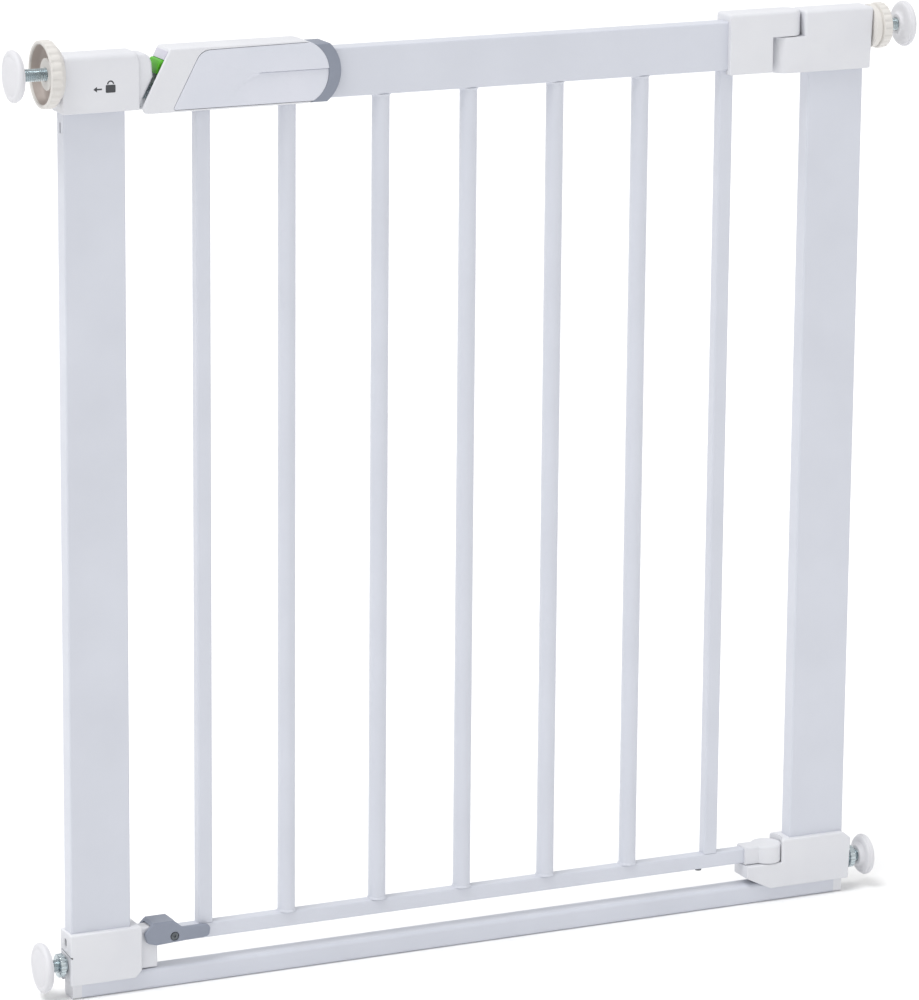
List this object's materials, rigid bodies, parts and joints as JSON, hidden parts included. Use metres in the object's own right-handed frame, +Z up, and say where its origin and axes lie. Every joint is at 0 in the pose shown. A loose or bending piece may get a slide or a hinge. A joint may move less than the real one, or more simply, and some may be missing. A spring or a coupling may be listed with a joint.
{
  "type": "pressure-fit stair gate with sliding latch",
  "caption": "Pressure-fit stair gate with a sliding latch handle, lift-off lower catch, swinging barred leaf and screw-out wall pads.",
  "frame": {"origin": "underside of the floor rail, midway between the two posts, in the gate's middle plane", "axes": "+X along the gate towards the hinge side, +Y towards the rear, +Z up"},
  "size_m": [0.7725, 0.052, 0.7605],
  "materials": {
    "coated_steel": "satin",
    "white_plastic": "matt",
    "handle_plastic": "matt",
    "grey_plastic": "matt",
    "dark_plastic": "matt",
    "guide_plastic": "matt",
    "indicator_green": "gloss",
    "bezel_plastic": "matt",
    "wheel_plastic": "matt",
    "zinc_steel": "zinc plated",
    "black_screw": "blackened",
    "pad_plastic": "matt"
  },
  "bodies": {
    "frame": {"left_post": "coated_steel", "right_post": "coated_steel", "floor_rail": "coated_steel", "rail_end_plugs": "white_plastic", "receiver_cap": "white_plastic", "hinge_cap": "white_plastic", "left_foot_housing": "white_plastic", "right_foot_housing": "white_plastic", "spindle_guides": "guide_plastic", "cap_screws": "zinc_steel"},
    "hinge_pins": {"upper_hinge_pin": "zinc_steel", "lower_hinge_pin": "zinc_steel"},
    "leaf": {"top_rail": "coated_steel", "top_rail_plug": "guide_plastic", "lower_rail": "coated_steel", "square_end_bars": "coated_steel", "round_bars": "coated_steel", "leaf_hinge_cap": "white_plastic", "lower_knuckle": "white_plastic", "lower_catch_fork": "grey_plastic", "fork_screw": "black_screw", "spring_seat": "zinc_steel", "rail_buffer": "dark_plastic", "return_spring": "zinc_steel"},
    "handle": {"handle_core": "white_plastic", "handle_front_cover": "handle_plastic", "handle_rear_cover": "handle_plastic", "handle_end_collar": "grey_plastic", "latch_bolt": "zinc_steel", "indicator_flag": "indicator_green", "indicator_bezel": "bezel_plastic"},
    "upper_left_wheel": {"cup_wheel": "wheel_plastic"},
    "upper_left_screw": {"upper_left_spindle": "zinc_steel", "upper_left_pad": "pad_plastic"},
    "upper_right_wheel": {"hand_knob": "wheel_plastic"},
    "upper_right_screw": {"upper_right_spindle": "zinc_steel", "upper_right_pad": "pad_plastic"},
    "lower_left_ring": {"lower_left_nut": "zinc_steel"},
    "lower_left_screw": {"lower_left_spindle": "zinc_steel", "lower_left_pad": "pad_plastic"},
    "lower_right_ring": {"lower_right_nut": "zinc_steel"},
    "lower_right_screw": {"lower_right_spindle": "zinc_steel", "lower_right_pad": "pad_plastic"}
  },
  "joints": [
    {"name": "leaf_lift", "type": "slide", "parent": "frame", "child": "hinge_pins", "axis": [0, 0, 1], "range_m": [0, 0.016]},
    {"name": "leaf_swing", "type": "hinge", "parent": "hinge_pins", "child": "leaf", "pos_m": [0.276, 0, 0.35], "axis": [0, 0, 1], "range_deg": [-90, 90]},
    {"name": "handle_slide", "type": "slide", "parent": "leaf", "child": "handle", "axis": [1, 0, 0], "range_m": [0, 0.012], "stiffness_N_per_m": 400, "springref_m": -0.004, "deforming": ["return_spring"]},
    {"name": "upper_left_turn", "type": "hinge", "parent": "frame", "child": "upper_left_wheel", "pos_m": [-0.3535, 0, 0.7345], "axis": [1, 0, 0], "range_deg": [-2170, 5050]},
    {"name": "upper_left_reach", "type": "slide", "parent": "frame", "child": "upper_left_screw", "axis": [-1, 0, 0], "range_m": [-0.009, 0.021]},
    {"name": "upper_right_turn", "type": "hinge", "parent": "frame", "child": "upper_right_wheel", "pos_m": [0.359, 0, 0.7305], "axis": [-1, 0, 0], "range_deg": [-2170, 5050]},
    {"name": "upper_right_reach", "type": "slide", "parent": "frame", "child": "upper_right_screw", "axis": [1, 0, 0], "range_m": [-0.009, 0.021]},
    {"name": "lower_left_turn", "type": "hinge", "parent": "frame", "child": "lower_left_ring", "pos_m": [-0.35, 0, 0.027], "axis": [1, 0, 0], "range_deg": [-730, 5050]},
    {"name": "lower_left_reach", "type": "slide", "parent": "frame", "child": "lower_left_screw", "axis": [-1, 0, 0], "range_m": [-0.003, 0.021]},
    {"name": "lower_right_turn", "type": "hinge", "parent": "frame", "child": "lower_right_ring", "pos_m": [0.354, 0, 0.027], "axis": [-1, 0, 0], "range_deg": [-730, 5050]},
    {"name": "lower_right_reach", "type": "slide", "parent": "frame", "child": "lower_right_screw", "axis": [1, 0, 0], "range_m": [-0.003, 0.021]}
  ],
  "couplings": [
    {"joint": "upper_left_turn", "follows": "upper_left_reach", "rad_per_m": 4188.8},
    {"joint": "upper_right_turn", "follows": "upper_right_reach", "rad_per_m": 4188.8},
    {"joint": "lower_left_turn", "follows": "lower_left_reach", "rad_per_m": 4188.8},
    {"joint": "lower_right_turn", "follows": "lower_right_reach", "rad_per_m": 4188.8}
  ]
}
